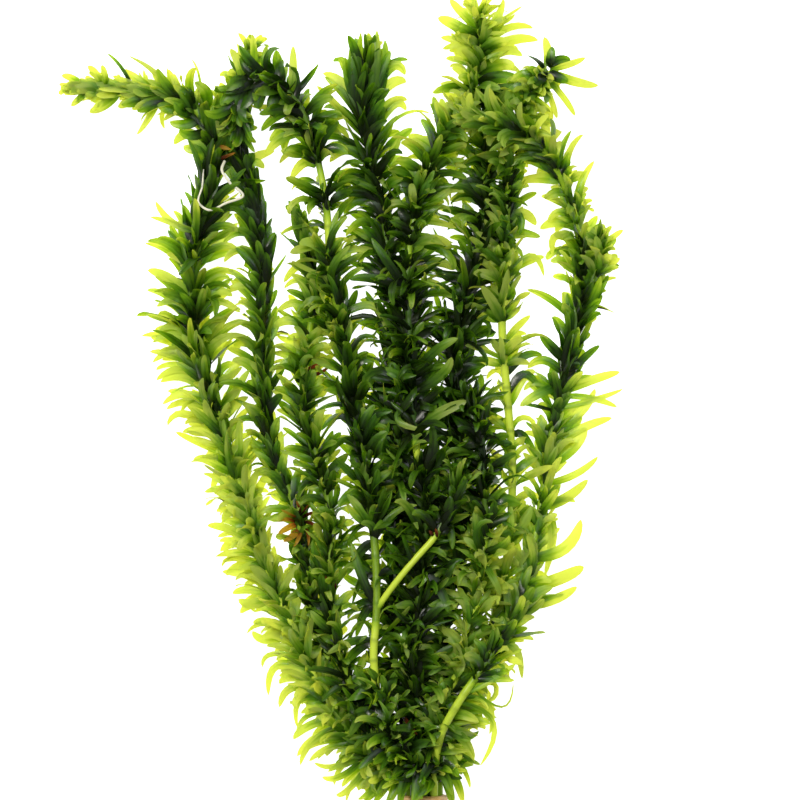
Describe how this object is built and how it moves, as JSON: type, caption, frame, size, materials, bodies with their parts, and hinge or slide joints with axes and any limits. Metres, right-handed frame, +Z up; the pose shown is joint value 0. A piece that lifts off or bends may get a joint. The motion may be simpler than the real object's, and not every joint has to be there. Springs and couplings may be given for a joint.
{
  "type": "brazilian waterweed bunch",
  "caption": "Bunch of cut Brazilian waterweed shoots with whorls of narrow green leaves, tied near the cut ends with a rubber band and lying flat.",
  "frame": {"origin": "the middle of the bunch's length and width, on the surface that it lies on", "axes": "+Y runs from the tied cut ends to the growing tips, +Z is up from the surface that the bunch lies on, and +X is to the right, seen from above with the tips away from the viewer"},
  "size_m": [0.1718, 0.2528, 0.028],
  "materials": {
    "leaf_and_stem": "gloss",
    "water_root": "satin",
    "natural_rubber": "satin"
  },
  "bodies": {
    "root": {"shoot_far_left": "leaf_and_stem", "shoot_left": "leaf_and_stem", "shoot_left_centre": "leaf_and_stem", "shoot_arching": "leaf_and_stem", "shoot_centre": "leaf_and_stem", "shoot_right_centre": "leaf_and_stem", "shoot_top_right": "leaf_and_stem", "shoot_short": "leaf_and_stem", "shoot_right": "leaf_and_stem", "shoot_far_right": "leaf_and_stem", "branch_centre": "leaf_and_stem", "branch_right": "leaf_and_stem", "root_thread": "water_root", "rubber_band": "natural_rubber"}
  },
  "joints": []
}
